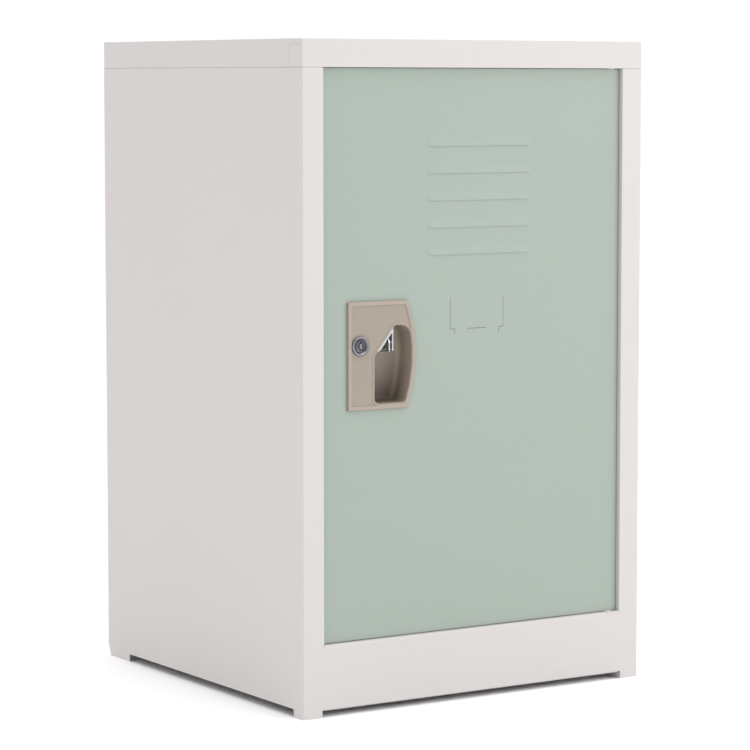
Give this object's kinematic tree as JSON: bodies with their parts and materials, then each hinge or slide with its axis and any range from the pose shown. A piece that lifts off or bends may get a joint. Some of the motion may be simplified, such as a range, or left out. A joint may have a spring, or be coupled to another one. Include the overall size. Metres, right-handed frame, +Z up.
{
  "type": "bedside cabinet",
  "caption": "Upright folded-steel bedside cabinet with an inset hinged door, louvres, a recessed moulded pull with cam lock and padlock staple, and a hanging rod.",
  "frame": {"origin": "centre of the footprint, on the floor under the feet", "axes": "+Z up, +X to the right and +Y away as seen by someone facing the door, which is hinged on the +X side"},
  "size_m": [0.376, 0.377, 0.61],
  "materials": {
    "cabinet_paint": "off-white fine-textured powder coat",
    "door_paint": "sage green fine-textured powder coat",
    "handle_plastic": "satin moulded beige",
    "bright_chrome": "polished plate",
    "satin_nickel": "satin nickel plate",
    "lock_face": "nickel-plated, brushed",
    "zinc_steel": "bright zinc",
    "nylon": "natural nylon",
    "rubber": "matt black"
  },
  "bodies": {
    "cabinet": {"left_side_panel": "cabinet_paint", "right_side_panel": "cabinet_paint", "back_panel": "cabinet_paint", "top_cover": "cabinet_paint", "floor_panel": "cabinet_paint", "bottom_rail": "cabinet_paint", "hinge_bracket_top": "cabinet_paint", "hinge_bracket_bottom": "cabinet_paint", "hinge_pin_top": "zinc_steel", "hinge_pin_bottom": "zinc_steel", "hinge_washer_top": "nylon", "hinge_washer_bottom": "nylon", "hanging_rod": "bright_chrome", "rod_socket_left": "cabinet_paint", "rod_socket_right": "cabinet_paint", "back_screws": "zinc_steel", "rail_screws": "zinc_steel", "floor_screws": "zinc_steel", "stop_bumpers": "rubber"},
    "door": {"door_panel": "door_paint", "door_stiffener": "door_paint", "handle_shell": "handle_plastic", "handle_screws": "zinc_steel", "padlock_staple": "bright_chrome", "lock_barrel": "satin_nickel", "lock_nut": "zinc_steel", "lock_washer": "zinc_steel"},
    "lock_core": {"lock_plug": "lock_face", "lock_cam": "zinc_steel", "cam_screw": "zinc_steel"}
  },
  "joints": [
    {"name": "door_hinge", "type": "hinge", "parent": "cabinet", "child": "door", "pos_m": [0.1562, -0.1809, 0.32], "axis": [0, 0, 1], "range_deg": [0, 115]},
    {"name": "lock_turn", "type": "hinge", "parent": "door", "child": "lock_core", "pos_m": [-0.1261, -0.1715, 0.3344], "axis": [0, 1, 0], "range_deg": [0, 90]}
  ]
}
